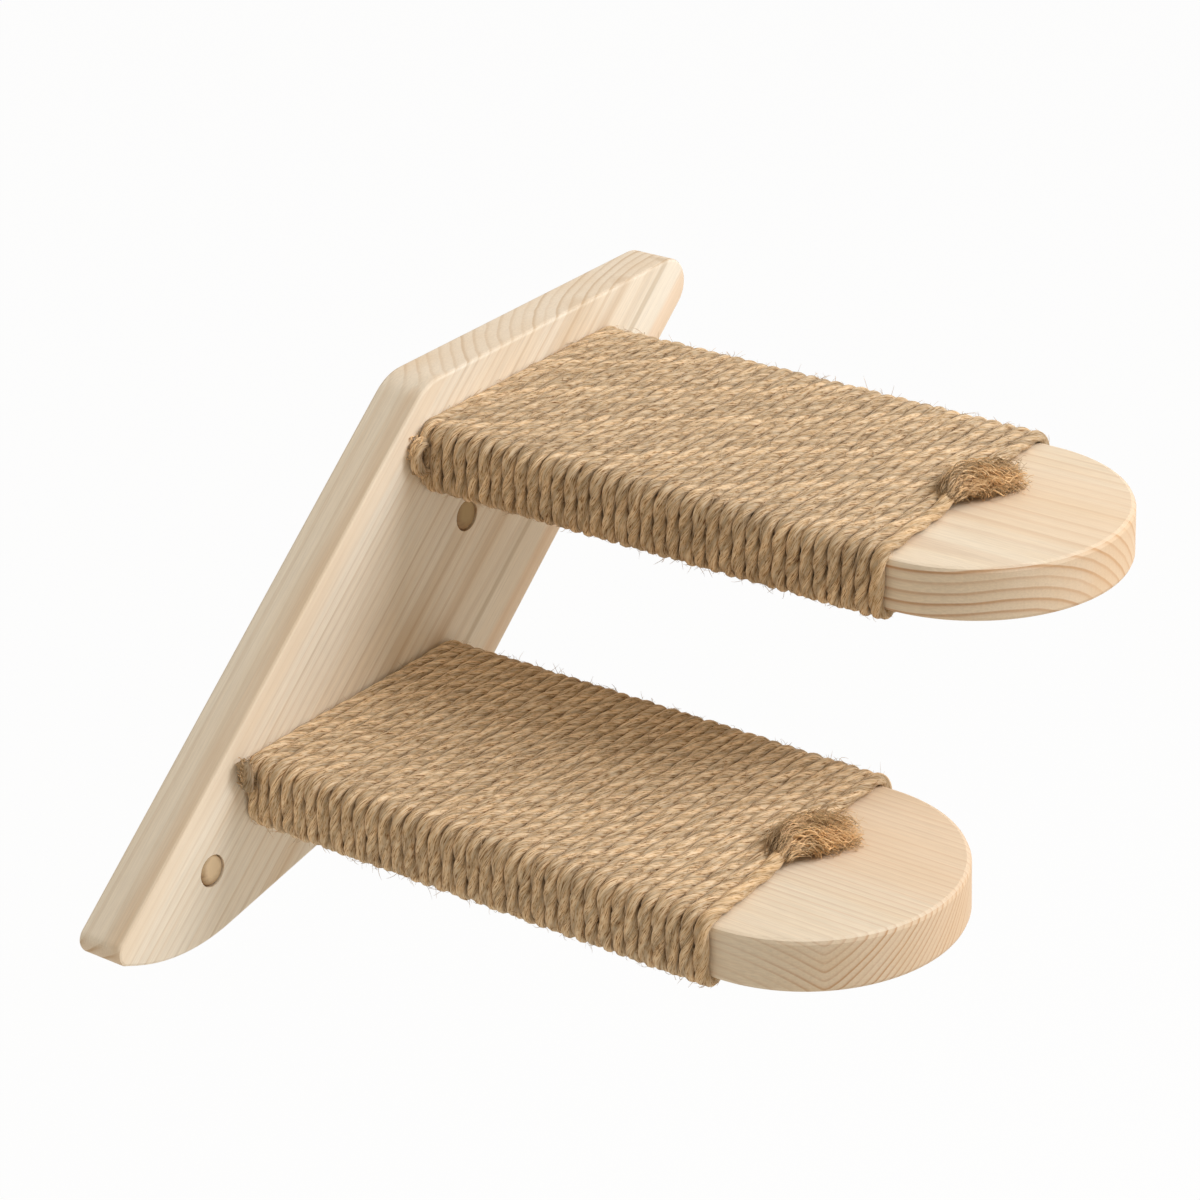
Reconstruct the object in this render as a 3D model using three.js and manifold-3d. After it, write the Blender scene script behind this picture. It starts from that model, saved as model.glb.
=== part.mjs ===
// Cat wall steps: two round-ended wooden steps wrapped in jute rope, on one slanted wall board.
// Millimetres. X runs to the right along the wall, Y into the wall and Z up. The origin lies on the
// board's rear face, in the middle of its width and its height.

import * as THREE from 'three';
import Module from 'manifold-3d';
import { mergeVertices } from 'three/addons/utils/BufferGeometryUtils.js';

// Steps
const stepWidth = 100;
const stepThickness = 18;
const stepReach = 232;
const stepEasing = 1.5;
const upperStepShift = -4.2;
const lowerStepShift = 1;

// Wall board: its margins run from its edges to the middle of each step's thickness, and its foot
// slopes from the toe at the left down to the heel and up again to the right
const boardThickness = 18;
const boardWidth = 161;
const boardHeight = 153;
const topMargin = 24.5;
const footMargin = 46.5;
const sideLeanDegrees = 50.6;
const toeRise = 15;
const heelRun = 32;
const footRise = 26;
const topLeftRadius = 20;
const topRightRadius = 10;
const footRightRadius = 20;
const heelRadius = 70;
const toeRadius = 5;
const boardEasing = 1;

// Wall screw holes, each closed by a plug
const wallScrewHole = 5;
const counterboreDiameter = 11;
const counterboreDepth = 10;
const plugThickness = 6;
const plugRecess = 0.5;
const plugEasing = 0.4;
const upperHoleDrop = 29.3;
const upperHoleShift = 1;
const lowerHoleRise = 26.5;
const lowerHoleInset = 34.5;

// Screws and dowels that hold the steps
const screwDiameter = 5;
const screwLength = 60;
const screwTipLength = 5;
const screwHeadDiameter = 9.5;
const screwHeadHeight = 2.8;
const screwHeadRim = 0.3;
const screwSink = 0.5;
const recessSpan = 5.2;
const recessWidth = 1.1;
const recessDepth = 2;
const dowelDiameter = 8;
const dowelLength = 30;
const dowelSeat = 10;
const dowelEasing = 1;
const screwWidthShares = [-0.36, 0, 0.36];
const dowelWidthShares = [-0.18, 0.18];

// Jute rope
const ropeLoops = 23;
const ropeHeight = 3.7;
const turnGap = 0.6;
const bareMargin = 1;
const tailBendRadius = 8;
const tailTurnDegrees = 55;
const tailLength = 12;

// Fits, cuts and the fineness of round shapes
const fitGap = 0.3;
const cutOverrun = 5;
const edgeSteps = 2;
const cornerSteps = 7;
const tipSteps = 36;
const roundSides = 16;
const plugSides = 24;
const ropeSides = 6;
const ropeCornerSteps = 2;
const tailBendSteps = 4;

// Places that follow from the sizes above
const sideRunShare = Math.tan(THREE.MathUtils.degToRad(sideLeanDegrees));
const boardTop = boardHeight / 2;
const boardFoot = -boardHeight / 2;
const middleAt = (z) => z * sideRunShare;
const leftSideAt = (z) => middleAt(z) - boardWidth / 2;
const rightSideAt = (z) => middleAt(z) + boardWidth / 2;
const upperStepLevel = boardTop - topMargin;
const lowerStepLevel = boardFoot + footMargin;
const upperHoleLevel = upperStepLevel - upperHoleDrop;
const lowerHoleLevel = boardFoot + lowerHoleRise;
const stepPlaces = {
  upper: [middleAt(upperStepLevel) + upperStepShift, upperStepLevel],
  lower: [middleAt(lowerStepLevel) + lowerStepShift, lowerStepLevel],
};
const holePlaces = {
  upper: [middleAt(upperHoleLevel) + upperHoleShift, upperHoleLevel],
  lower: [leftSideAt(lowerHoleLevel) + lowerHoleInset, lowerHoleLevel],
};
const straightReach = stepReach - stepWidth / 2;

// Finishes
const pine = () => new THREE.MeshStandardMaterial({ color: 0xe9d4b0, roughness: 0.6, metalness: 0 });
const jute = () => new THREE.MeshStandardMaterial({ color: 0xc3a177, roughness: 0.95, metalness: 0 });
const plugWood = () => new THREE.MeshStandardMaterial({ color: 0xb98f5c, roughness: 0.65, metalness: 0 });
const beech = () => new THREE.MeshStandardMaterial({ color: 0xd9b88a, roughness: 0.7, metalness: 0 });
const zincPlate = () => new THREE.MeshStandardMaterial({ color: 0xb9bcc0, roughness: 0.35, metalness: 1 });

const wasm = await Module();
wasm.setup();

// Turns a closed geometry into a solid that can be cut.
function solidOf(geometry) {
  const bare = geometry.index ? geometry.toNonIndexed() : geometry.clone();
  bare.deleteAttribute('normal');
  bare.deleteAttribute('uv');
  const merged = mergeVertices(bare);
  const index = Array.from(merged.index.array);
  const triangles = [];
  for (let i = 0; i < index.length; i += 3) {
    const [a, b, c] = index.slice(i, i + 3);
    if (a !== b && b !== c && c !== a) {
      triangles.push(a, b, c);
    }
  }
  const vertProperties = new Float32Array(merged.attributes.position.array);
  const triVerts = new Uint32Array(triangles);
  return new wasm.Manifold(new wasm.Mesh({ numProp: 3, vertProperties, triVerts }));
}

function geometryOf(solid) {
  const mesh = solid.getMesh();
  const geometry = new THREE.BufferGeometry();
  geometry.setAttribute('position', new THREE.BufferAttribute(mesh.vertProperties, 3));
  geometry.setIndex(new THREE.BufferAttribute(mesh.triVerts, 1));
  geometry.computeVertexNormals();
  return geometry;
}

function cut(geometry, cutters) {
  let solid = solidOf(geometry);
  for (const cutter of cutters) {
    solid = solid.subtract(solidOf(cutter));
  }
  return geometryOf(solid);
}

function piece(name, geometry, material) {
  const mesh = new THREE.Mesh(geometry, material);
  mesh.name = name;
  return mesh;
}

// A plate with eased edges, drawn flat in X and Y and standing from Z zero up to its thickness.
function easedPlate(outline, thickness, easing, curveSegments) {
  const plate = new THREE.ExtrudeGeometry(outline, {
    depth: thickness - 2 * easing,
    bevelThickness: easing,
    bevelSize: easing,
    bevelOffset: -easing,
    bevelSegments: edgeSteps,
    curveSegments,
  });
  return plate.translate(0, 0, easing);
}

// A closed outline with an arc at each corner. The corners run counter-clockwise and bulge outwards.
function roundedOutline(corners) {
  const outline = new THREE.Shape();
  corners.forEach(({ at, radius }, i) => {
    const before = corners.at(i - 1).at.clone().sub(at).normalize();
    const after = corners[(i + 1) % corners.length].at.clone().sub(at).normalize();
    const halfAngle = Math.acos(before.dot(after)) / 2;
    const inward = before.clone().add(after).normalize();
    const centre = at.clone().addScaledVector(inward, radius / Math.sin(halfAngle));
    const tangentLength = radius / Math.tan(halfAngle);
    const start = at.clone().addScaledVector(before, tangentLength).sub(centre);
    const end = at.clone().addScaledVector(after, tangentLength).sub(centre);
    outline.absarc(centre.x, centre.y, radius, start.angle(), end.angle(), false);
  });
  outline.closePath();
  return outline;
}

// The wall board stands on edge: its outline is drawn in X and Z, and it runs from the wall forwards.
function wallBoardBlank() {
  const toeLevel = boardFoot + toeRise;
  const footRightLevel = boardFoot + footRise;
  const corners = [
    { at: new THREE.Vector2(leftSideAt(boardTop), boardTop), radius: topLeftRadius },
    { at: new THREE.Vector2(leftSideAt(toeLevel), toeLevel), radius: toeRadius },
    { at: new THREE.Vector2(leftSideAt(toeLevel) + heelRun, boardFoot), radius: heelRadius },
    { at: new THREE.Vector2(rightSideAt(footRightLevel), footRightLevel), radius: footRightRadius },
    { at: new THREE.Vector2(rightSideAt(boardTop), boardTop), radius: topRightRadius },
  ];
  return easedPlate(roundedOutline(corners), boardThickness, boardEasing, cornerSteps).rotateX(Math.PI / 2);
}

// A body of revolution about Y, from a profile of [radius, y] points that rises along Y.
function turned(profile, sides) {
  return new THREE.LatheGeometry(profile.map(([radius, y]) => new THREE.Vector2(radius, y)), sides);
}

// A countersunk screw's outer shape, grown by a clearance all round and closed at the given height.
// Y zero is the board's front face, and the head lies a little under the rear face.
function screwShape(clearance, closedAt) {
  const headTop = boardThickness - screwSink;
  const tip = headTop - screwLength - clearance;
  const shank = screwDiameter / 2 + clearance;
  const head = screwHeadDiameter / 2 + clearance;
  return turned([
    [0, tip],
    [shank, tip + screwTipLength],
    [shank, headTop - screwHeadHeight],
    [head, headTop - screwHeadRim],
    [head, closedAt],
    [0, closedAt],
  ], roundSides);
}

function stepScrew() {
  const headTop = boardThickness - screwSink;
  const slot = new THREE.BoxGeometry(recessSpan, 2 * recessDepth, recessWidth).translate(0, headTop, 0);
  const crossSlot = slot.clone().rotateY(Math.PI / 2);
  return cut(screwShape(0, headTop), [slot, crossSlot]);
}

// A dowel's shape, grown by a clearance all round. Y zero is the board's front face.
function dowelShape(clearance) {
  const radius = dowelDiameter / 2 + clearance;
  const rear = dowelSeat + clearance;
  const front = dowelSeat - dowelLength - clearance;
  return turned([
    [0, front],
    [radius - dowelEasing, front],
    [radius, front + dowelEasing],
    [radius, rear - dowelEasing],
    [radius - dowelEasing, rear],
    [0, rear],
  ], roundSides);
}

// The holes that one step's screws and dowels need, in the step's own place.
function fastenerHoles() {
  const screwHoles = screwWidthShares.map((share) => (
    screwShape(fitGap, boardThickness + cutOverrun).translate(share * stepWidth, 0, 0)
  ));
  const dowelHoles = dowelWidthShares.map((share) => (
    dowelShape(fitGap).translate(share * stepWidth, 0, 0)
  ));
  return [...screwHoles, ...dowelHoles];
}

// A wall screw hole: a wide flat-bottomed hole from the front, and a narrow one through to the rear.
function wallScrewHoleShape() {
  return turned([
    [0, -boardThickness - cutOverrun],
    [counterboreDiameter / 2, -boardThickness - cutOverrun],
    [counterboreDiameter / 2, counterboreDepth - boardThickness],
    [wallScrewHole / 2, counterboreDepth - boardThickness],
    [wallScrewHole / 2, cutOverrun],
    [0, cutOverrun],
  ], plugSides);
}

function wallBoard() {
  const stepHoles = Object.values(stepPlaces).flatMap(([x, z]) => (
    fastenerHoles().map((hole) => hole.translate(x, -boardThickness, z))
  ));
  const wallHoles = Object.values(holePlaces).map(([x, z]) => wallScrewHoleShape().translate(x, 0, z));
  return cut(wallBoardBlank(), [...stepHoles, ...wallHoles]);
}

function holePlug() {
  const radius = counterboreDiameter / 2 - fitGap;
  const front = plugRecess - boardThickness;
  const rear = front + plugThickness;
  return turned([
    [0, front],
    [radius - plugEasing, front],
    [radius, front + plugEasing],
    [radius, rear],
    [0, rear],
  ], plugSides);
}

// A step board. Its square end meets the wall board and its tip is a half circle.
function stepBoard() {
  const outline = new THREE.Shape();
  outline.moveTo(-stepWidth / 2, cutOverrun);
  outline.lineTo(-stepWidth / 2, -straightReach);
  outline.absarc(0, -straightReach, stepWidth / 2, Math.PI, 2 * Math.PI, false);
  outline.lineTo(stepWidth / 2, cutOverrun);
  outline.closePath();
  const blank = easedPlate(outline, stepThickness, stepEasing, tipSteps).translate(0, 0, -stepThickness / 2);
  const endCutDepth = 2 * cutOverrun;
  const endCut = new THREE.BoxGeometry(
    stepWidth + 2 * cutOverrun,
    endCutDepth,
    stepThickness + 2 * cutOverrun,
  ).translate(0, endCutDepth / 2 - fitGap, 0);
  return cut(blank, [endCut, ...fastenerHoles()]);
}

// One lap of the rope's middle line round a step, from the top of the near side across the top, down
// the far side and back underneath. Each place has the angle that its outward side faces.
function lapPlaces() {
  const across = stepWidth / 2 - stepEasing;
  const up = stepThickness / 2 - stepEasing;
  const radius = stepEasing + fitGap + ropeHeight / 2;
  const corner = (x, z, startAngle) => Array.from({ length: ropeCornerSteps + 1 }, (unused, i) => {
    const angle = startAngle - (i / ropeCornerSteps) * (Math.PI / 2);
    return { x: x + radius * Math.cos(angle), z: z + radius * Math.sin(angle), angle };
  });
  return [
    ...corner(-across, up, Math.PI),
    { x: 0, z: up + radius, angle: Math.PI / 2 },
    ...corner(across, up, Math.PI / 2),
    ...corner(across, -up, 0),
    { x: 0, z: -up - radius, angle: -Math.PI / 2 },
    ...corner(-across, -up, -Math.PI / 2),
  ];
}

// The rope's width once it is pressed flat, so that its turns and the gaps between them fill the wrap.
const wrapLength = straightReach - bareMargin;
const ropeWidth = (wrapLength - fitGap - ropeLoops * turnGap) / (ropeLoops + 1);
const turnPitch = ropeWidth + turnGap;

// The rope's middle line: its laps advance steadily from the wall, and half way across the top its
// loose end bends towards the tip. It starts straight up the near side.
function ropeLine() {
  const lap = lapPlaces();
  const lapSize = lap.length;
  const previous = (i) => lap[(i + lapSize - 1) % lapSize];
  const runTo = lap.map((place, i) => Math.hypot(place.x - previous(i).x, place.z - previous(i).z));
  const lapLength = runTo.reduce((sum, run) => sum + run, 0);
  const line = [];
  let walked = 0;
  const add = (place) => line.push({
    at: new THREE.Vector3(place.x, -fitGap - ropeWidth / 2 - (turnPitch * walked) / lapLength, place.z),
    outward: new THREE.Vector3(Math.cos(place.angle), 0, Math.sin(place.angle)),
  });
  add(previous(0));
  const tailStart = ropeLoops * lapSize + lap.findIndex((place) => place.x === 0);
  for (let i = 0; i <= tailStart; i += 1) {
    walked += runTo[i % lapSize];
    add(lap[i % lapSize]);
  }

  const bend = THREE.MathUtils.degToRad(tailTurnDegrees) / tailBendSteps;
  const chord = 2 * tailBendRadius * Math.sin(bend / 2);
  let heading = Math.atan(turnPitch / lapLength);
  const advance = (length, towards) => {
    const { at, outward } = line.at(-1);
    const step = new THREE.Vector3(Math.cos(towards), -Math.sin(towards), 0).multiplyScalar(length);
    line.push({ at: at.clone().add(step), outward });
  };
  for (let i = 0; i < tailBendSteps; i += 1) {
    advance(chord, heading + bend / 2);
    heading += bend;
  }
  advance(tailLength, heading);
  return line;
}

// The corners of the rope's flattened six-sided section at each place on its line.
function ropeRings(line) {
  return line.map(({ at, outward }, i) => {
    const ahead = line[Math.min(i + 1, line.length - 1)].at.clone().sub(at).normalize();
    const behind = at.clone().sub(line[Math.max(i - 1, 0)].at).normalize();
    const along = ahead.add(behind).normalize();
    const sideways = along.cross(outward).normalize();
    return Array.from({ length: ropeSides }, (unused, corner) => {
      const angle = (corner / ropeSides) * 2 * Math.PI;
      const rise = Math.sin(angle) / Math.sin(Math.PI / 3);
      return at.clone()
        .addScaledVector(sideways, (ropeWidth / 2) * Math.cos(angle))
        .addScaledVector(outward, (ropeHeight / 2) * rise);
    });
  });
}

// The smallest distance between points that lie more than half a lap apart along the rope.
function leastGapToItself(rings) {
  const halfLap = Math.ceil(lapPlaces().length / 2);
  let least = Infinity;
  rings.forEach((ring, i) => {
    for (const other of rings.slice(i + halfLap)) {
      for (const point of ring) {
        for (const otherPoint of other) {
          least = Math.min(least, point.distanceTo(otherPoint));
        }
      }
    }
  });
  return least;
}

// One closed tube through all the rings.
function stepRope() {
  const rings = ropeRings(ropeLine());
  const gap = leastGapToItself(rings);
  console.log(`Rope round a step: ${rings.length} rings, least gap to itself ${gap.toFixed(2)} mm`);
  const corner = (ring, side) => ring * ropeSides + (side % ropeSides);
  const triangles = [];
  for (let ring = 0; ring + 1 < rings.length; ring += 1) {
    for (let side = 0; side < ropeSides; side += 1) {
      triangles.push(corner(ring, side), corner(ring + 1, side), corner(ring, side + 1));
      triangles.push(corner(ring + 1, side), corner(ring + 1, side + 1), corner(ring, side + 1));
    }
  }
  const lastRing = rings.length - 1;
  for (let side = 1; side + 1 < ropeSides; side += 1) {
    triangles.push(corner(0, 0), corner(0, side), corner(0, side + 1));
    triangles.push(corner(lastRing, 0), corner(lastRing, side + 1), corner(lastRing, side));
  }
  const geometry = new THREE.BufferGeometry().setFromPoints(rings.flat());
  geometry.setIndex(triangles);
  geometry.computeVertexNormals();
  return geometry;
}

// A step with its rope and its fasteners, placed where its middle meets the board's front face.
function step(level) {
  const [x, z] = stepPlaces[level];
  const group = new THREE.Group();
  group.position.set(x, -boardThickness, z);
  group.add(piece(`${level}_step_board`, stepBoard(), pine()));
  group.add(piece(`${level}_step_rope`, stepRope(), jute()));
  screwWidthShares.forEach((share, i) => {
    const screw = piece(`${level}_step_screw_${i + 1}`, stepScrew(), zincPlate());
    screw.position.x = share * stepWidth;
    group.add(screw);
  });
  dowelWidthShares.forEach((share, i) => {
    const dowel = piece(`${level}_step_dowel_${i + 1}`, dowelShape(0), beech());
    dowel.position.x = share * stepWidth;
    group.add(dowel);
  });
  return group;
}

function plug(level) {
  const [x, z] = holePlaces[level];
  const mesh = piece(`${level}_hole_plug`, holePlug(), plugWood());
  mesh.position.set(x, 0, z);
  return mesh;
}

const wallSteps = new THREE.Group();
wallSteps.add(piece('backboard', wallBoard(), pine()));
for (const level of ['upper', 'lower']) {
  wallSteps.add(step(level));
  wallSteps.add(plug(level));
}

export default wallSteps;
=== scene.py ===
"""Cat wall steps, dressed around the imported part: two pine steps wound with jute rope on a slanted pine board.

Lengths in the classes are millimetres. They become metres where meshes, lamps and nodes are made.
A step's own axes are x from its near side to its far side, u from the wall board to its tip, and z up.
"""

import logging
import math
from dataclasses import dataclass, field
from enum import Enum

import bpy
import numpy as np
from mathutils import Matrix, Vector


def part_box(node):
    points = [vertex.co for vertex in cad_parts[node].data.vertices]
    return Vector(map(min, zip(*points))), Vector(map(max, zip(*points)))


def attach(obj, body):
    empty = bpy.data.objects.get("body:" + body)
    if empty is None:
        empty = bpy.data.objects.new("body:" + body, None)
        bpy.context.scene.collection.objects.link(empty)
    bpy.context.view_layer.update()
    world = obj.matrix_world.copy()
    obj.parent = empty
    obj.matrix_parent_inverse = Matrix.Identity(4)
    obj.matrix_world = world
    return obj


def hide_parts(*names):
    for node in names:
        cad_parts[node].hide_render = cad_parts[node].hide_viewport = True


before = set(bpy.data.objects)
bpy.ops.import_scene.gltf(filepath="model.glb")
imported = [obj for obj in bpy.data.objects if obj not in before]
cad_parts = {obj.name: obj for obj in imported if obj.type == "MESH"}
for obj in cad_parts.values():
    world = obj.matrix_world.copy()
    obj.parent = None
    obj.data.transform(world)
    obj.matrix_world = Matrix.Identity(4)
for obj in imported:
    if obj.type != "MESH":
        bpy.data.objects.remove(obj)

log = logging.getLogger("cat_wall_steps")

MM = 0.001
BODY = "root"
BAKE_MAP = "OFBake"
SEED = 20260

Socket = bpy.types.NodeSocket
Triple = tuple[float, float, float]
Value = Socket | float | tuple[float, ...]


class Lay(Enum):
    """The way a rope's plies turn round it."""

    RIGHT_HANDED = 1
    LEFT_HANDED = -1


class RingForm(Enum):
    """The shape of a board's growth rings where it is cut across."""

    ROUND = "arcs round the pith"
    VEE = "two straight legs that meet over the pith"


class StartForm(Enum):
    """How a rope's cut beginning lies by the wall."""

    CURL = "curled round a hollow on the near side"
    STUB = "standing up at the near top corner"


def linear(hex_colour: str) -> tuple[float, float, float, float]:
    """Turns an sRGB hex colour into the linear colour that Blender's sockets take.

    Args:
        hex_colour: Six hex digits, such as "D8B98C".

    Returns:
        Linear red, green, blue and an alpha of one.
    """
    channels = [int(hex_colour[i : i + 2], 16) / 255 for i in (0, 2, 4)]
    turned = [c / 12.92 if c <= 0.04045 else ((c + 0.055) / 1.055) ** 2.4 for c in channels]
    return (*turned, 1.0)


def add_node(
    tree: bpy.types.NodeTree,
    kind: str,
    inputs: tuple[Value, ...] | dict[str | int, Value] = (),
    output: int | str = 0,
    stops: tuple[tuple[float, Value], ...] = (),
    **settings: object,
) -> Socket:
    """Adds one node with its settings, its input values and its links.

    Args:
        tree: The node tree that gets the node.
        kind: The node's type after "ShaderNode", such as "Math".
        inputs: What the inputs take, in order, or by name or number: a socket to link, or a value.
        output: The output that is wanted.
        stops: The stops of a colour ramp: each one's position, and its colour or its grey level.
        settings: Properties of the node itself.

    Returns:
        The node's output.
    """
    node = tree.nodes.new(f"ShaderNode{kind}")
    for name, setting in settings.items():
        setattr(node, name, setting)
    for key, value in inputs.items() if isinstance(inputs, dict) else enumerate(inputs):
        if isinstance(value, Socket):
            tree.links.new(value, node.inputs[key])
        else:
            node.inputs[key].default_value = value
    while stops and len(node.color_ramp.elements) < len(stops):
        node.color_ramp.elements.new(1.0)
    for i, (position, colour) in enumerate(stops):
        element = node.color_ramp.elements[i]
        element.position = position
        element.color = colour if isinstance(colour, tuple) else (colour, colour, colour, 1.0)
    return node.outputs[output]


def lumpy(tree: bpy.types.NodeTree, place: Socket, size: Triple, detail: float = 2.0) -> Socket:
    """Makes a lumpy pattern from the size of its lumps.

    Args:
        tree: The node tree that gets the pattern.
        place: The place in millimetres.
        size: The lumps' size along each axis, in millimetres.
        detail: How many finer layers go over the first one.

    Returns:
        The pattern, from about 0 to 1.
    """
    per_lump = tuple(1 / s for s in size)
    scaled = add_node(tree, "VectorMath", (place, per_lump), operation="MULTIPLY")
    return add_node(tree, "TexNoise", {"Vector": scaled, "Scale": 1.0, "Detail": detail})


def new_material(name: str) -> tuple[bpy.types.Material, bpy.types.NodeTree, bpy.types.Node]:
    """Starts a node material.

    Args:
        name: The material's name.

    Returns:
        The material, its node tree and its Principled shader, which is already linked to the output.
    """
    material = bpy.data.materials.new(name)
    material.use_nodes = True
    tree = material.node_tree
    return material, tree, tree.nodes["Principled BSDF"]


@dataclass(frozen=True)
class GrainBand:
    """A soft stripe of another tone that runs along the grain."""

    across: float
    through: float
    reach: tuple[float, float]
    tone: str
    strength: float
    edge_size: Triple = (3.0, 3.0, 50.0)

    def amount(self, tree: bpy.types.NodeTree, place: Socket) -> Socket:
        """Works out how strongly the stripe shows: most along its own line, fading to its reach.

        Args:
            tree: The node tree that gets the nodes.
            place: The place in millimetres, across, through and along the grain.

        Returns:
            The stripe's strength at the place.
        """
        per_reach = (1 / self.reach[0], 1 / self.reach[1], 0.0)
        offset = add_node(tree, "VectorMath", (place, (self.across, self.through, 0.0)), operation="SUBTRACT")
        flat = add_node(tree, "VectorMath", (offset, per_reach), operation="MULTIPLY")
        distance = add_node(tree, "VectorMath", (flat,), output="Value", operation="LENGTH")
        waver = add_node(tree, "Math", (lumpy(tree, place, self.edge_size), 0.5), operation="SUBTRACT")
        rough_edge = add_node(tree, "Math", (waver, 0.5, distance), operation="MULTIPLY_ADD")
        return add_node(tree, "ValToRGB", (rough_edge,), stops=((0.45, self.strength), (1.0, 0.0)))


@dataclass(frozen=True)
class WoodFinish:
    """Bare wood, sawn, planed and sanded: Scots pine unless the colours say otherwise.

    Solid growth rings run through the whole piece, so the lines on its faces, edges and end grain join up.
    The wide pale earlywood gives a creamy ground, and the narrow latewood gives tan lines.
    Single fibres are 0.03 mm wide, too fine to show, so they are drawn as bundles of half a millimetre.
    """

    name: str
    grain: Triple = (0.0, 1.0, 0.0)
    across: Triple = (1.0, 0.0, 0.0)
    pith: Triple = (0.0, 0.0, 0.0)
    ring_width: float = 3.2
    ring_form: RingForm = RingForm.ROUND
    leg_slope: float = 1.1
    leg_fade: tuple[float, float] = (-12.0, 1.0)
    wander: float = 1.6
    slow_wander_size: Triple = (38.0, 38.0, 210.0)
    quick_wander_size: Triple = (6.0, 6.0, 60.0)
    earlywood: str = "F7EAD4"
    latewood: str = "BC8552"
    line_strength: float = 0.95
    broad_face_strength: float = 0.28
    edge_face_strength: float = 1.0
    end_tone: str = "E3BE94"
    end_strength: float = 0.4
    bands: tuple[GrainBand, ...] = ()
    fibre_size: Triple = (0.55, 0.55, 26.0)
    pore_size: Triple = (0.9, 0.9, 5.0)
    cloud_size: Triple = (16.0, 16.0, 130.0)
    cloud_tone: str = "ECCFA6"
    relief: float = 0.06
    roughness: float = 0.62
    ior: float = 1.5
    specular: float = 0.35

    def material(self) -> bpy.types.Material:
        """Builds the material, with its patterns worked out in millimetres along and across the grain.

        Returns:
            The material.
        """
        material, tree, shader = new_material(self.name)
        grain = Vector(self.grain).normalized()
        across = Vector(self.across).normalized()
        through = grain.cross(across)
        place = self._place(tree, (across, through, grain))
        pith = tuple(axis.dot(Vector(self.pith)) for axis in (across, through))
        lines, rings = self._rings(tree, place, pith)
        for axis, strength in ((through, self.broad_face_strength), (across, self.edge_face_strength)):
            facing = self._facing(tree, axis)
            softened = add_node(tree, "ValToRGB", (facing,), stops=((0.5, 1.0), (0.95, strength)))
            lines = add_node(tree, "Math", (lines, softened), operation="MULTIPLY")
        fibres = lumpy(tree, place, self.fibre_size, 3.0)
        pores = lumpy(tree, place, self.pore_size)
        clouds = lumpy(tree, place, self.cloud_size)
        # The fibres' cut ends soak up more light than their sides, so end grain is deeper in tone.
        ends = self._facing(tree, grain)

        cloudy = add_node(tree, "ValToRGB", (clouds,), stops=((0.4, 0.0), (0.75, 0.35)))
        streaks = add_node(tree, "ValToRGB", (fibres,), stops=((0.3, 0.9), (0.7, 1.05)))
        dots = add_node(tree, "ValToRGB", (pores,), stops=((0.3, 0.93), (0.6, 1.0)))
        soaked = add_node(tree, "ValToRGB", (ends,), stops=((0.3, 0.0), (1.0, self.end_strength)))
        layers = [
            ("MIX", lines, linear(self.latewood)),
            ("MIX", cloudy, linear(self.cloud_tone)),
            ("MULTIPLY", 0.8, streaks),
            ("MULTIPLY", 0.5, dots),
            *(("MIX", band.amount(tree, place), linear(band.tone)) for band in self.bands),
            ("MIX", soaked, linear(self.end_tone)),
        ]
        colour = linear(self.earlywood)
        for blend, amount, tone in layers:
            mixed = {0: amount, 6: colour, 7: tone}
            colour = add_node(tree, "Mix", mixed, output=2, data_type="RGBA", blend_type=blend, clamp_factor=True)

        height = add_node(tree, "Math", (rings, 0.5, fibres), operation="MULTIPLY_ADD")
        bump = add_node(tree, "Bump", {"Height": height, "Strength": 0.35, "Distance": self.relief * MM})
        rough_range = {"Value": fibres, "To Min": self.roughness - 0.06, "To Max": self.roughness + 0.08}
        tree.links.new(colour, shader.inputs["Base Color"])
        tree.links.new(add_node(tree, "MapRange", rough_range), shader.inputs["Roughness"])
        tree.links.new(bump, shader.inputs["Normal"])
        shader.inputs["IOR"].default_value = self.ior
        shader.inputs["Specular IOR Level"].default_value = self.specular
        return material

    def _place(self, tree: bpy.types.NodeTree, axes: tuple[Vector, Vector, Vector]) -> Socket:
        """Measures the place along three axes.

        Args:
            tree: The node tree that gets the nodes.
            axes: The directions across, through and along the grain.

        Returns:
            The place in millimetres.
        """
        spot = add_node(tree, "TexCoord", output="Object")
        parts = tuple(
            add_node(tree, "VectorMath", (spot, tuple(axis / MM)), output="Value", operation="DOT_PRODUCT")
            for axis in axes
        )
        return add_node(tree, "CombineXYZ", parts)

    def _rings(
        self, tree: bpy.types.NodeTree, place: Socket, pith: tuple[float, float]
    ) -> tuple[Socket, Socket]:
        """Draws the growth rings round the pith.

        Args:
            tree: The node tree that gets the nodes.
            place: The place in millimetres, across, through and along the grain.
            pith: The pith's place across and through the grain.

        Returns:
            The rings' tone, where each line has its own strength, and their plain profile.
        """
        split = add_node(tree, "SeparateXYZ", (place,)).node.outputs
        side, depth = (add_node(tree, "Math", (split[i], pith[i]), operation="SUBTRACT") for i in (0, 1))
        if self.ring_form is RingForm.VEE:
            leg = add_node(tree, "Math", (side, self.leg_slope), operation="MULTIPLY")
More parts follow.
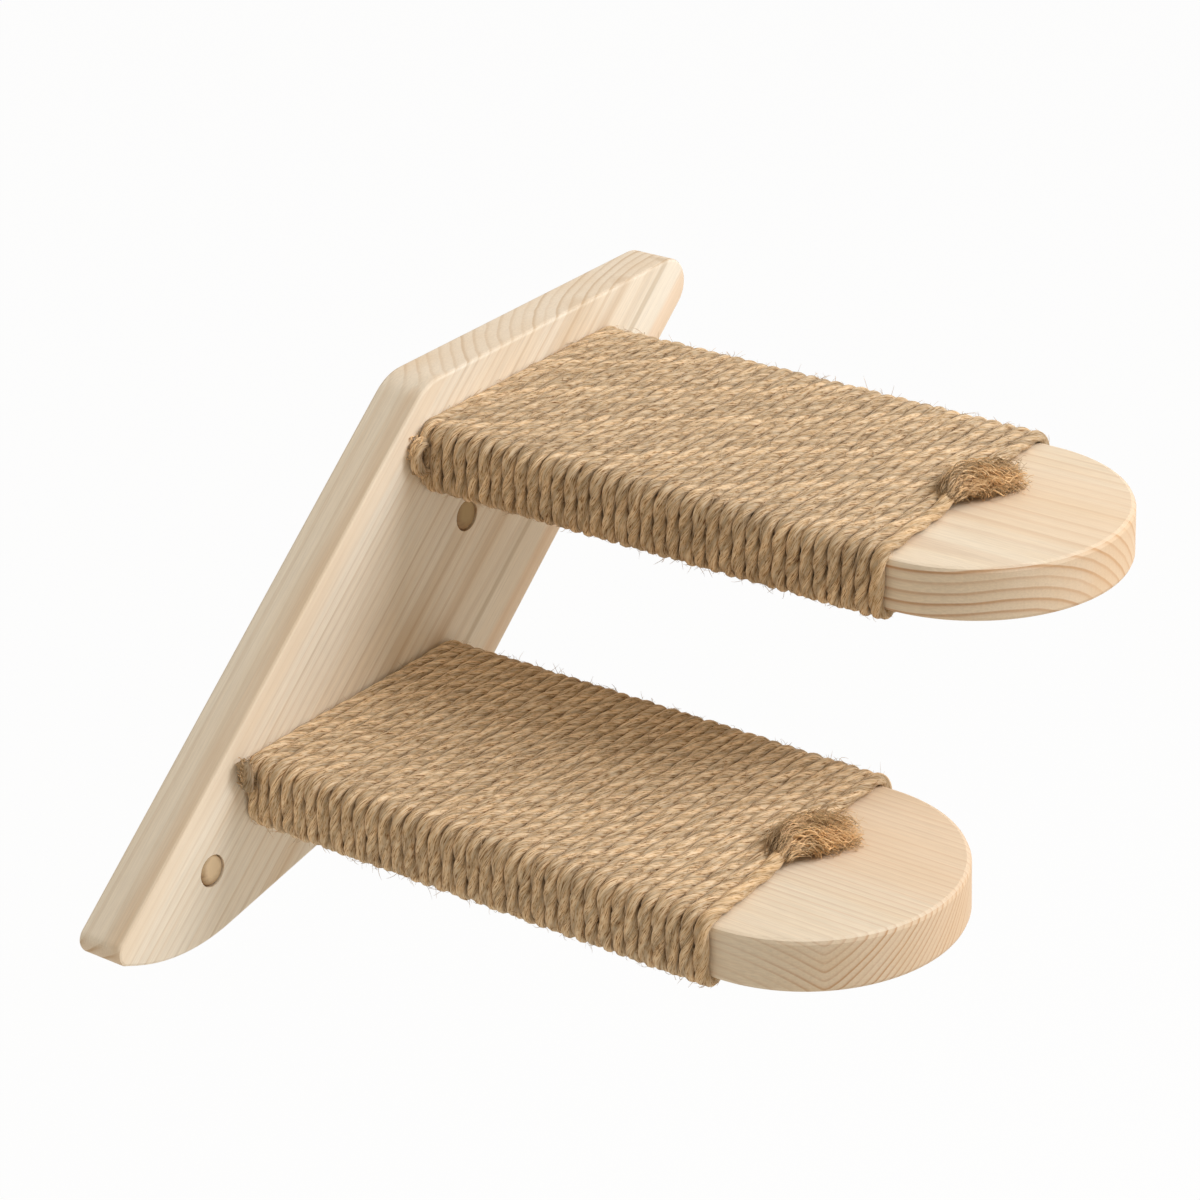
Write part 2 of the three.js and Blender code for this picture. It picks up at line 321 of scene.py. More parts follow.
            # The half keeps the point where the legs meet a little blunt.
            blunt = add_node(tree, "Math", (leg, leg, 0.5), operation="MULTIPLY_ADD")
            rise = add_node(tree, "Math", (blunt,), operation="SQRT")
            both = add_node(tree, "Math", (rise, depth), operation="ADD")
            radius = add_node(tree, "Math", (both, math.hypot(1.0, self.leg_slope)), operation="DIVIDE")
        else:
            square = add_node(tree, "Math", (side, side), operation="MULTIPLY")
            both = add_node(tree, "Math", (depth, depth, square), operation="MULTIPLY_ADD")
            radius = add_node(tree, "Math", (both,), operation="SQRT")
        for size, share in ((self.slow_wander_size, 2.0), (self.quick_wander_size, 0.35)):
            swing = add_node(tree, "Math", (lumpy(tree, place, size, 1.0), 0.5), operation="SUBTRACT")
            radius = add_node(tree, "Math", (swing, share * self.wander, radius), operation="MULTIPLY_ADD")
        turns = add_node(tree, "Math", (radius, self.ring_width), operation="DIVIDE")
        within = add_node(tree, "Math", (turns,), operation="FRACT")
        year = ((0.0, 0.0), (0.4, 0.05), (0.64, 0.3), (0.82, 1.0), (0.93, 0.9), (1.0, 0.0))
        profile = add_node(tree, "ValToRGB", (within,), stops=year)
        number = add_node(tree, "Math", (turns,), operation="FLOOR")
        own = add_node(tree, "TexWhiteNoise", {"W": number}, noise_dimensions="1D")
        tone_range = {"Value": own, "To Min": 0.35 * self.line_strength, "To Max": self.line_strength}
        strength = add_node(tree, "MapRange", tone_range)
        if self.ring_form is RingForm.VEE:
            near, far = self.leg_fade
            fading = {"Value": side, "From Min": near, "From Max": far, "To Min": 0.2, "To Max": 1.0}
            faded = add_node(tree, "MapRange", fading)
            strength = add_node(tree, "Math", (strength, faded), operation="MULTIPLY")
        return add_node(tree, "Math", (profile, strength), operation="MULTIPLY"), profile

    def _facing(self, tree: bpy.types.NodeTree, axis: Vector) -> Socket:
        """Tells how squarely the surface faces along an axis.

        Args:
            tree: The node tree that gets the nodes.
            axis: The axis, with a length of one.

        Returns:
            1 where the surface is square to the axis, and 0 where it runs along it.
        """
        normal = add_node(tree, "NewGeometry", output="Normal")
        share = add_node(tree, "VectorMath", (normal, tuple(axis)), output="Value", operation="DOT_PRODUCT")
        return add_node(tree, "Math", (share,), operation="ABSOLUTE")


@dataclass(frozen=True)
class JuteFinish:
    """Jute yarn, retted, spun and laid into rope, undyed.

    Dry bast fibres of many browns run along each ply, so it is dull, streaky and a little hairy.
    Single fibres are 0.02 mm wide, too fine to show, so they are drawn as bundles of 0.4 mm.
    """

    name: str
    light: str = "FBE5C4"
    middle: str = "E8C699"
    dark: str = "885E37"
    warm: str = "F0C58B"
    fibre_size: Triple = (2.4, 0.4, 0.4)
    clump_size: Triple = (6.0, 1.3, 1.3)
    patch_size: Triple = (70.0, 6.0, 6.0)
    relief: float = 0.12
    roughness: float = 0.9
    specular: float = 0.2
    sheen: float = 0.12
    sheen_roughness: float = 0.5

    def material(self) -> bpy.types.Material:
        """Builds the material from each mesh's own coordinates along the rope, its tone with painted shade, and its
        warmth.

        Returns:
            The material.
        """
        material, tree, shader = new_material(self.name)
        along = add_node(tree, "Attribute", output="Vector", attribute_name="lay")
        tone, warmth = (
            add_node(tree, "Attribute", output="Fac", attribute_name=value) for value in ("tone", "warmth")
        )
        fibres = lumpy(tree, along, self.fibre_size, 3.0)
        clumps = lumpy(tree, along, self.clump_size)
        patches = lumpy(tree, along, self.patch_size, 1.0)
        browns = ((0.31, linear(self.dark)), (0.45, linear(self.middle)), (0.62, linear(self.light)))
        shade = add_node(tree, "MapRange", {"Value": tone, "To Min": 0.32, "To Max": 1.18})
        layers = [
            ("MULTIPLY", 1.0, add_node(tree, "ValToRGB", (clumps,), stops=((0.32, 0.72), (0.58, 1.0)))),
            ("MULTIPLY", 1.0, add_node(tree, "ValToRGB", (patches,), stops=((0.3, 0.88), (0.7, 1.0)))),
            ("MIX", warmth, linear(self.warm)),
            ("MULTIPLY", 1.0, add_node(tree, "CombineColor", (shade, shade, shade))),
        ]
        colour = add_node(tree, "ValToRGB", (fibres,), stops=browns)
        for blend, amount, tint in layers:
            mixed = {0: amount, 6: colour, 7: tint}
            colour = add_node(tree, "Mix", mixed, output=2, data_type="RGBA", blend_type=blend, clamp_factor=True)

        bump = add_node(tree, "Bump", {"Height": fibres, "Strength": 0.6, "Distance": self.relief * MM})
        tree.links.new(colour, shader.inputs["Base Color"])
        tree.links.new(bump, shader.inputs["Normal"])
        shader.inputs["Roughness"].default_value = self.roughness
        shader.inputs["Specular IOR Level"].default_value = self.specular
        shader.inputs["Sheen Weight"].default_value = self.sheen
        shader.inputs["Sheen Roughness"].default_value = self.sheen_roughness
        return material


@dataclass(frozen=True)
class ZincFinish:
    """Carbon steel screws, zinc plated and passivated, which gives a pale grey sheen with fine mottling.

    The plating's own grain is too fine to show, so its mottling is drawn a millimetre wide.
    """

    name: str
    metal: str = "C9CCD0"
    mottle: str = "A7ABB0"
    spangle_size: Triple = (1.0, 1.0, 1.0)
    roughness: float = 0.34

    def material(self) -> bpy.types.Material:
        """Builds the material.

        Returns:
            The material.
        """
        material, tree, shader = new_material(self.name)
        spot = add_node(tree, "TexCoord", output="Object")
        place = add_node(tree, "VectorMath", {0: spot, "Scale": 1 / MM}, operation="SCALE")
        spangle = lumpy(tree, place, self.spangle_size, 3.0)
        mixed = {0: spangle, 6: linear(self.metal), 7: linear(self.mottle)}
        colour = add_node(tree, "Mix", mixed, output=2, data_type="RGBA", blend_type="MIX", clamp_factor=True)
        rough_range = {"Value": spangle, "To Min": self.roughness, "To Max": self.roughness + 0.2}
        tree.links.new(colour, shader.inputs["Base Color"])
        tree.links.new(add_node(tree, "MapRange", rough_range), shader.inputs["Roughness"])
        shader.inputs["Metallic"].default_value = 1.0
        return material


@dataclass
class MeshParts:
    """Points, faces and point values of a mesh while it is put together from tubes."""

    points: list[np.ndarray] = field(default_factory=list)
    corners: list[np.ndarray] = field(default_factory=list)
    sizes: list[np.ndarray] = field(default_factory=list)
    values: dict[str, list[np.ndarray]] = field(default_factory=dict)
    maps: list[np.ndarray] = field(default_factory=list)
    count: int = 0

    def add_tubes(self, rings: np.ndarray, values: dict[str, np.ndarray], uv: np.ndarray) -> None:
        """Adds closed tubes that all have the same number of rings and sides.

        Args:
            rings: Points, of shape (tubes, rings, sides, 3).
            values: Point values, each of shape (tubes, rings, sides) or with a last axis of 3.
            uv: Map places for each ring and side, with one more side than the rings, for the seam.
        """
        tubes, length, sides, _ = rings.shape
        start = self.count + np.arange(tubes)[:, None, None] * length * sides
        near = start + np.arange(length - 1)[:, None] * sides
        far = near + sides
        side = np.arange(sides)
        after = (side + 1) % sides
        quads = np.stack([near + side, near + after, far + after, far + side], axis=-1)
        first = start[:, 0] + side[::-1]
        last = start[:, 0] + (length - 1) * sides + side
        self.corners += [quads.ravel(), first.ravel(), last.ravel()]
        self.sizes += [np.full(quads.size // 4, 4), np.full(2 * tubes, sides)]
        place = np.broadcast_to(uv, (tubes, length, sides + 1, 2))
        low, high = place[:, :-1], place[:, 1:]
        quad_map = np.stack([low[:, :, :-1], low[:, :, 1:], high[:, :, 1:], high[:, :, :-1]], axis=3)
        caps = (place[:, 0, :-1][:, ::-1], place[:, -1, :-1])
        self.maps += [part.reshape(-1, 2) for part in (quad_map, *caps)]
        self.points.append(rings.reshape(-1, 3))
        for name, value in values.items():
            flat = value.reshape(-1, 3) if value.ndim == 4 else value.reshape(-1)
            self.values.setdefault(name, []).append(flat)
        self.count += tubes * length * sides

    def make(self, name: str, material: bpy.types.Material) -> bpy.types.Object:
        """Makes the mesh object, smooth shaded, in metres.

        Args:
            name: The piece's name.
            material: Its finish.

        Returns:
            The new object, linked to the scene.
        """
        mesh = bpy.data.meshes.new(name)
        corners, sizes = np.concatenate(self.corners), np.concatenate(self.sizes)
        mesh.vertices.add(self.count)
        mesh.vertices.foreach_set("co", (np.concatenate(self.points) * MM).astype(np.float32).ravel())
        mesh.loops.add(len(corners))
        mesh.loops.foreach_set("vertex_index", corners.astype(np.int32))
        mesh.polygons.add(len(sizes))
        mesh.polygons.foreach_set("loop_start", (np.cumsum(sizes) - sizes).astype(np.int32))
        mesh.update(calc_edges=True)
        mesh.validate()
        mesh.shade_smooth()
        for value_name, parts in self.values.items():
            value = np.concatenate(parts)
            kind, key = ("FLOAT_VECTOR", "vector") if value.ndim == 2 else ("FLOAT", "value")
            attribute = mesh.attributes.new(value_name, kind, "POINT")
            attribute.data.foreach_set(key, value.astype(np.float32).ravel())
        uv_map = mesh.uv_layers.new(name=BAKE_MAP)
        uv_map.data.foreach_set("uv", np.concatenate(self.maps).astype(np.float32).ravel())
        mesh.materials.append(material)
        piece = bpy.data.objects.new(name, mesh)
        bpy.context.scene.collection.objects.link(piece)
        return piece


def unit(vectors: np.ndarray) -> np.ndarray:
    """Gives vectors a length of one."""
    return vectors / np.maximum(np.linalg.norm(vectors, axis=-1, keepdims=True), 1e-9)


def together(*coordinates: np.ndarray | float) -> np.ndarray:
    """Spreads coordinates to one shape and puts them side by side on a new last axis."""
    return np.stack(np.broadcast_arrays(*coordinates), axis=-1)


def around(sides: int) -> np.ndarray:
    """Gives the angles of a ring's points."""
    return np.arange(sides) / sides * 2 * np.pi


def walked_along(line: np.ndarray) -> np.ndarray:
    """Measures the way from a line's first point to each of its points.

    Args:
        line: Points, whose last two axes are the places and the coordinates.

    Returns:
        The distances, without the axis of the coordinates.
    """
    steps = np.linalg.norm(np.diff(line, axis=-2), axis=-1)
    return np.concatenate([np.zeros_like(steps[..., :1]), np.cumsum(steps, axis=-1)], axis=-1)


def frames_along(line: np.ndarray, outward: np.ndarray) -> tuple[np.ndarray, np.ndarray]:
    """Finds the directions square to a line of points.

    Args:
        line: Points, of shape (..., places, 3).
        outward: Roughly outward directions at the points.

    Returns:
        The outward and the sideways direction at each point, both square to the line.
    """
    along = unit(np.gradient(line, axis=-2))
    sideways = unit(np.cross(along, outward))
    return np.cross(sideways, along), sideways


@dataclass(frozen=True)
class Ripple:
    """A smooth wander along a line, added up from sine waves of given lengths."""

    height: float
    lengths: tuple[float, ...]

    def at(self, places: np.ndarray, random: np.random.Generator) -> np.ndarray:
        """Works out the wander.

        Args:
            places: Places along the line, in millimetres.
            random: Where the waves' phases come from.

        Returns:
            The wander at each place, between about minus and plus the height.
        """
        waves = [np.sin(2 * np.pi * places / length + random.uniform(0, 2 * np.pi)) for length in self.lengths]
        return self.height * (sum(waves) / len(waves))


@dataclass(frozen=True)
class FibreLook:
    """The tone and the warmth of fibres: one value for each fibre, or one for each place along it."""

    tone: np.ndarray
    warmth: np.ndarray

    def over(self, shape: tuple[int, int, int]) -> dict[str, np.ndarray]:
        """Spreads the values over the points of tubes.

        Args:
            shape: How many fibres, places and sides there are.

        Returns:
            The tone and the warmth at each point.
        """
        return {
            name: np.broadcast_to(value[..., None] if value.ndim == 2 else value[:, None, None], shape)
            for name, value in (("tone", self.tone), ("warmth", self.warmth))
        }


@dataclass(frozen=True)
class LockFibres:
    """One kind of fibre in a frayed tail.

    A jute fibre is 0.02 mm wide, too fine to show, so each fibre drawn here stands for a strand of them.
    They end between two shares of the tail's length, and lie scattered about their lock's own line.
    """

    count: int
    radii: tuple[float, float]
    sides: int
    reach: tuple[float, float]
    scatter: float


@dataclass(frozen=True)
class LooseFibres:
    """The fibre ends that stand off the wound turns, drawn coarser than real ones, so that they show.

    A gamma is the shape and the scale of a random draw with a long tail, which the range below it limits.
    """

    count: int = 6200
    end_margin: int = 8
    spread_angle: float = 1.35
    root_depth_share: float = 0.9
    length_gamma: tuple[float, float] = (4.0, 0.85)
    lengths: tuple[float, float] = (1.5, 8.0)
    rise_gamma: tuple[float, float] = (2.0, 0.24)
    rises: tuple[float, float] = (0.1, 1.5)
    rise_power: float = 1.5
    skew: float = 0.5
    bend: float = 0.35
    radii: tuple[float, float] = (0.05, 0.1)
    sides: int = 3
    taper: tuple[float, ...] = (1.0, 1.0, 0.9, 0.7, 0.3)
    tones: tuple[float, float] = (0.5, 0.95)
    warmth: float = 0.35
    warm_length: float = 200.0


@dataclass(frozen=True)
class TailLocks:
    """How a rope's loose end opens into locks of fibres, each with a wave, a tone and a warmth of its own.

    Shares are of the tail's length from its root. The half widths and heights are the tail's, closed and open.
    """

    count: int = 22
    opens_at_share: float = 0.08
    opens_over_share: float = 0.45
    half_widths: tuple[float, float] = (2.4, 6.2)
    half_heights: tuple[float, float] = (2.0, 3.2)
    waves: tuple[float, float] = (0.8, 2.2)
    wave_width: float = 1.1
    wave_height: float = 0.8
    flatness: float = 0.6
    curl_radii: tuple[float, float] = (0.4, 1.6)
    curl_turns: tuple[float, float] = (4.0, 7.5)
    begin_shares: tuple[float, float] = (0.12, 0.34)
    clearance: float = 0.3
    fibre_points: int = 24
    fibre_taper: float = 0.6
    tones: tuple[float, ...] = (0.35, 0.85, 1.0, 1.1)
    fibre_tones: tuple[float, float] = (0.8, 1.15)
    warmths: tuple[float, float] = (0.4, 0.85)
    fibres: tuple[LockFibres, ...] = (
        LockFibres(count=380, radii=(0.16, 0.34), sides=4, reach=(0.6, 0.95), scatter=0.8),
        LockFibres(count=860, radii=(0.07, 0.15), sides=3, reach=(0.4, 1.0), scatter=1.4),
    )


@dataclass(frozen=True)
class CutFray:
    """The short fibres that stick out of the rope's cut beginning, drawn coarser than real ones."""

    count: int = 90
    points: int = 7
    spread: Triple = (1.1, 0.88, 1.1)
    lean: float = 0.5
    lengths: tuple[float, float] = (1.0, 2.8)
    bend: float = 0.7
    wall_clearance: float = 0.4
    radii: tuple[float, float] = (0.18, 0.42)
    sides: int = 4
    taper: float = 0.6
    tones: tuple[float, float] = (0.6, 1.3)
    warmth: float = 0.3


@dataclass(frozen=True)
class RopeLength:
    """A length of rope, as its middle line in the step's own axes with values for each point of it."""

    distance: np.ndarray
    line: np.ndarray
    outward: np.ndarray
    warmth: np.ndarray
    uv: np.ndarray
    shade: float = 1.0


@dataclass
class RopeWrap:
    """A step's jute rope: a three-ply rope wound in touching turns from the wall to where the tip rounds."""

    level: str
    seed: int
    middle: Vector
    front_y: float
    step_width: float
    step_thickness: float
    top_drift: float
    start_form: StartForm
    finish: bpy.types.Material
    turns: int = 36
    pitch: float = 5.08
    first_turn: float = 2.8
    lead_in_laps: float = 0.3
    # The last turns cross the top nearly square, with a bow towards the wall.
    late_turns: int = 5
    last_drift: float = -0.3
    last_bow: float = 1.2
    clearance: float = 0.1
    half_width: float = 2.68
    half_height: float = 2.1
    corner_radius: float = 3.0
    lay_length: float = 31.0
    lay: Lay = Lay.RIGHT_HANDED
    crease: float = 0.27
    # Painted shade: in the creases between the plies the tone drops to this share.
    crease_shade: float = 0.55
    ply_sizes: tuple[float, float] = (0.95, 1.04)
    ply_tones: tuple[float, float] = (0.78, 0.98)
    groove_shade: float = 0.4
    inner_shade: float = 0.6
    sway: Ripple = Ripple(0.3, (17.0, 31.0, 57.0, 113.0, 290.0))
    lift: Ripple = Ripple(0.16, (13.0, 23.0, 71.0, 160.0))
    twist_wander: Ripple = Ripple(0.9, (26.0, 61.0, 143.0))
    swell: Ripple = Ripple(0.06, (7.0, 12.0, 27.0, 64.0))
    ring_spacing: float = 1.1
    sides: int = 12
    end_warmth: float = 0.25
    warm_length: float = 140.0
    loose: LooseFibres = LooseFibres()
    fray: CutFray = CutFray()
    locks: TailLocks = TailLocks()
    tail_leaves_at: float = 0.345
    tail_guide: tuple[Triple, ...] = (
        (0.0, 0.0, 0.0),
        (5.0, -0.6, 1.6),
        (11.0, -1.6, 3.4),
        (18.0, -0.6, 3.2),
        (26.0, 3.6, 2.0),
        (36.0, 9.0, 1.0),
    )
    tail_rounding: float = 5.0
    tail_laid_length: float = 15.0
    tail_spacing: float = 0.5
    random: np.random.Generator = field(init=False)
    tail_root: np.ndarray = field(init=False)
    surface: tuple[np.ndarray, ...] = field(init=False)

    def __post_init__(self) -> None:
        """Starts the step's own random numbers."""
        self.random = np.random.default_rng(self.seed)

    def to_frame(self, points: np.ndarray) -> np.ndarray:
        """Turns points in the step's own axes (x, u, z) into the part's frame, in millimetres."""
        x, u, z = np.moveaxis(points, -1, 0)
        return together(self.middle.x + x, self.front_y - u, self.middle.z + z)

    def lap(self) -> tuple[np.ndarray, np.ndarray, np.ndarray]:
        """Draws one lap of the rope's middle line round the step, from the near side's top corner.

        Returns:
            The distance walked, the places as (x, z) and the outward directions as (x, z).
        """
        across = self.step_width / 2 - self.corner_radius
        up = self.step_thickness / 2 - self.corner_radius
        radius = self.corner_radius + self.half_height + self.clearance
        flat_steps, arc_steps = 60, 12
        places, outward = [], []
        runs = (
            ((-across, up), math.pi / 2, (across, up)),
            ((across, up), 0.0, (across, -up)),
            ((across, -up), -math.pi / 2, (-across, -up)),
            ((-across, -up), math.pi, (-across, up)),
        )
        for start, angle, end in runs:
            normal = np.array([math.cos(angle), math.sin(angle)])
            share = np.linspace(0, 1, flat_steps, endpoint=False)[:, None]
            turn = angle - np.linspace(0, math.pi / 2, arc_steps, endpoint=False)
            arc = together(np.cos(turn), np.sin(turn))
            flat = np.array(start) * (1 - share) + np.array(end) * share + radius * normal
            places += [flat, np.array(end) + radius * arc]
            outward += [np.broadcast_to(normal, flat.shape), arc]
        line = np.concatenate([*places, places[0][:1]])
        return walked_along(line), line, np.concatenate([*outward, outward[0][:1]])

    def wound_line(self) -> tuple[np.ndarray, np.ndarray, np.ndarray]:
        """Draws the middle line of the wound turns, from the near side by the wall to where the tail leaves.

        Returns:
            The distance along the rope, the points as (x, u, z) and the outward directions.
        """
        walked, line, facing = self.lap()
        lap_length = walked[-1]
        top_length = self.step_width - 2 * self.corner_radius
        end = (self.turns - 1) * lap_length + self.tail_leaves_at * top_length
        along = np.arange(-self.lead_in_laps * lap_length, end, self.ring_spacing)
        lap_number = np.floor(along / lap_length)
        here = along - lap_number * lap_length
        x, z = (np.interp(here, walked, line[:, i]) for i in (0, 1))
        out_x, out_z = (np.interp(here, walked, facing[:, i]) for i in (0, 1))
        lateness = np.clip((lap_number - self.turns + self.late_turns + 1) / self.late_turns, 0, 1)
        drift = self.top_drift + (self.last_drift - self.top_drift) * lateness
        on_top = np.clip(here / top_length, 0, 1)
        beyond = np.clip((here - top_length) / (lap_length - top_length), 0, 1)
        u = self.first_turn + lap_number * self.pitch + drift * on_top + (self.pitch - drift) * beyond
        u = u - self.last_bow * lateness * np.sin(math.pi * on_top) + self.sway.at(along, self.random)
        lift = self.lift.at(along, self.random)
        u = np.maximum(u, self.half_width + self.clearance)
        points = together(x + lift * out_x, u, z + lift * out_z)
        return along - along[0], points, unit(together(out_x, 0.0, out_z))

    def tail_line(self, spacing: float) -> np.ndarray:
        """Draws the loose end's middle line, which arches over the last turns and bends towards the tip.

        Args:
            spacing: The distance from point to point.

        Returns:
            Points from the root to the end, in the step's own axes.
        """
        guide = np.array(self.tail_guide)
        reached = walked_along(guide)
        rounding, fine = self.tail_rounding, 0.25
        walked = np.arange(-rounding, reached[-1] + rounding, fine)
        window = np.hanning(round(2 * rounding / fine) + 1)
        window = window / window.sum()
        straight = [np.interp(walked, reached, guide[:, i]) for i in range(3)]
        rounded = together(*(np.convolve(line, window, mode="same") for line in straight))
        inner = (walked >= 0) & (walked <= reached[-1])
        rounded = rounded[inner] - rounded[inner][0]
        at = np.arange(0, reached[-1], spacing)
        return self.tail_root + together(*(np.interp(at, walked[inner], rounded[:, i]) for i in range(3)))

    def rope_tube(self, rope: RopeLength, parts: MeshParts) -> None:
        """Adds a length of rope as one closed tube with three plies that turn round it.

        Args:
            rope: The length of rope.
            parts: Where the tube goes.
        """
        facing, sideways = frames_along(rope.line, rope.outward)
        # The step's own axes are a mirror image of the frame's, so the sign of the lay turns round here.
        twist = -self.lay.value * 2 * np.pi * rope.distance / self.lay_length
        twist = twist + self.twist_wander.at(rope.distance, self.random)
        per_ply = self.sides // 3
        within = np.tile(np.arange(per_ply) / per_ply, 3)
        ply_size = np.repeat(self.random.uniform(*self.ply_sizes, 3), per_ply)
        ply_shape = ply_size * (1 - self.crease * np.abs(2 * within - 1) ** 2.0)
        angle = around(self.sides)
        reach = (1 + self.swell.at(rope.distance, self.random))[:, None] * ply_shape
        turned = angle + twist[:, None]
        high = (self.half_height * reach * np.cos(turned))[..., None] * facing[:, None, :]
        wide = (self.half_width * reach * np.sin(turned))[..., None] * sideways[:, None, :]
        rings = self.to_frame(rope.line[:, None, :] + high + wide)
        lay = together(rope.distance[:, None], self.half_width * np.cos(angle), self.half_width * np.sin(angle))
        ply_tone = rope.shade * np.repeat(self.random.uniform(*self.ply_tones, 3), per_ply)
        raised = (ply_shape - 1 + self.crease) / self.crease
        # Painted shade: the rope is darkened in the creases between its plies, in the grooves between touching
        # turns, and on the side towards the wood.
        groove = np.abs(np.sin(turned)) ** 6
        inner = np.clip(-np.cos(turned), 0, 1)
        tone = ply_tone * (self.crease_shade + (1 - self.crease_shade) * raised)
        tone = tone * (1 - self.groove_shade * groove) * (1 - self.inner_shade * inner)
        values = {"lay": lay, "tone": tone, "warmth": np.broadcast_to(rope.warmth[:, None], tone.shape)}
        parts.add_tubes(rings[None], {name: value[None] for name, value in values.items()}, rope.uv[None])

    def winding(self) -> bpy.types.Object:
        """Builds the wound turns and the laid part of the tail.

        Returns:
            The piece.
        """
        distance, line, outward = self.wound_line()
        self.tail_root = line[-1].copy()
        self.surface = (distance, line, *frames_along(line, outward))
        laid = self.tail_line(self.ring_spacing)[1 : round(self.tail_laid_length / self.ring_spacing)]
        line = np.concatenate([line, laid])
        outward = np.concatenate([outward, np.broadcast_to([0.0, 0.0, 1.0], laid.shape)])
        distance = np.arange(len(line)) * self.ring_spacing
        warmth = self.end_warmth * np.clip(1 - (distance[-1] - distance) / self.warm_length, 0, 1)
        parts = MeshParts()
        self.rope_tube(RopeLength(distance, line, outward, warmth, self._winding_map(distance)), parts)
        piece = parts.make(f"{self.level}_rope_winding", self.finish)
        log.info("%s: %d turns, %.2f m of rope", piece.name, self.turns, distance[-1] * MM)
        return piece

    def _winding_map(self, distance: np.ndarray) -> np.ndarray:
        """Lays the rope's skin out flat, in rows that each hold one lap.

        Args:
            distance: The distance along the rope of each of its rings.

        Returns:
            The map place of each ring and side, with one more side for the seam.
        """
        lap_length = self.lap()[0][-1]
        row = np.floor(distance / lap_length)
        ahead = (distance - row * lap_length) / lap_length
        seam = np.arange(self.sides + 1) / self.sides
        return together(ahead[:, None], (row[:, None] + 0.04 + 0.92 * seam) / (row.max() + 1))

    def fibre_tubes(
        self, lines: np.ndarray, radius: np.ndarray, sides: int, look: FibreLook, parts: MeshParts
    ) -> None:
        """Adds thin tubes along many fibre lines.

        Args:
            lines: Points in the step's own axes, of shape (fibres, places, 3).
            radius: Each tube's radius at each place.
            sides: How many sides a tube has.
            look: The fibres' tone and warmth.
            parts: Where the tubes go.
        """
        count, places, _ = lines.shape
        # A fibre that stands up takes its outward direction across the step, because up is along it.
        lying = np.abs(unit(np.gradient(lines, axis=1))[..., 2:]) < 0.8
        facing, sideways = frames_along(lines, np.where(lying, (0.0, 0.0, 1.0), (1.0, 0.0, 0.0)))
        angle = around(sides)
        ring = facing[:, :, None] * np.cos(angle)[:, None] + sideways[:, :, None] * np.sin(angle)[:, None]
        rings = self.to_frame(lines[:, :, None] + radius[:, :, None, None] * ring)
        # Each fibre starts at a random place of the fibre pattern, so no two of them look alike.
        lay = together(
            walked_along(lines)[..., None] + self.random.uniform(0, 900, (count, 1, 1)),
            0.5 * np.cos(angle) + self.random.uniform(0, 90, (count, 1, 1)),
            0.5 * np.sin(angle),
        )
        columns = math.ceil(math.sqrt(count))
        cell = np.arange(count)
        corner = together(cell % columns, cell // columns) / columns
        inside = together((np.arange(places) / places)[:, None], np.arange(sides + 1) / (sides + 1))
        uv = corner[:, None, None] + 0.9 * inside / columns
        parts.add_tubes(rings, {"lay": lay, **look.over((count, places, sides))}, uv)

    def fuzz(self) -> bpy.types.Object:
        """Builds the loose fibre ends that stand off the turns.

        Returns:
            The piece.
        """
        distance, line, facing, sideways = self.surface
        random, loose, count = self.random, self.loose, self.loose.count
        at = random.integers(loose.end_margin, len(distance) - loose.end_margin, count)
        angle = random.uniform(-loose.spread_angle, loose.spread_angle, count)[:, None]
        up, side = np.cos(angle) * facing[at], np.sin(angle) * sideways[at]
        root = line[at] + loose.root_depth_share * (self.half_height * up + self.half_width * side)
        ahead = unit(np.cross(sideways[at], facing[at])) * random.choice([-1.0, 1.0], count)[:, None]
        skew = random.normal(0, loose.skew, count)[:, None]
        ahead = unit(ahead + skew * np.cross(up + side, ahead))
        length = random.gamma(*loose.length_gamma, count).clip(*loose.lengths)[:, None, None]
        rise = random.gamma(*loose.rise_gamma, count).clip(*loose.rises)[:, None, None]
        share = np.linspace(0, 1, len(loose.taper))[:, None]
        lines = root[:, None] + length * share * ahead[:, None]
        lines = lines + rise * share**loose.rise_power * (up + side)[:, None]
        lines = lines + random.normal(0, loose.bend, (count, 1, 3)) * np.sin(math.pi * share)
        radius = random.uniform(*loose.radii, (count, 1)) * np.array(loose.taper)
        near_end = np.clip(1 - (distance[-1] - distance[at]) / loose.warm_length, 0, 1)
        look = FibreLook(random.uniform(*loose.tones, count), loose.warmth * near_end)
        parts = MeshParts()
        self.fibre_tubes(lines, radius, loose.sides, look, parts)
        return parts.make(f"{self.level}_rope_fuzz", self.finish)

    def tail(self) -> bpy.types.Object:
        """Builds the frayed loose end, where the plies open out into curly locks of fibres.

        Returns:
            The piece.
        """
        middle = self.tail_line(self.tail_spacing)
        parts = MeshParts()
        for kind in self.locks.fibres:
            self._lock_fibres(middle, kind, parts)
        return parts.make(f"{self.level}_rope_tail", self.finish)

    def _lock_fibres(self, middle: np.ndarray, kind: LockFibres, parts: MeshParts) -> None:
        """Adds fibres that fan out from the tail's middle line in locks.

        Args:
            middle: The tail's middle line.
            kind: The fibres' number and sizes.
            parts: Where the fibres go.
        """
        random, locks, count, places = self.random, self.locks, kind.count, len(middle)
        facing, sideways = frames_along(middle, np.broadcast_to([0.0, 0.0, 1.0], middle.shape))
        share = np.linspace(0, 1, places)
        opened = np.clip((share - locks.opens_at_share) / locks.opens_over_share, 0, 1)
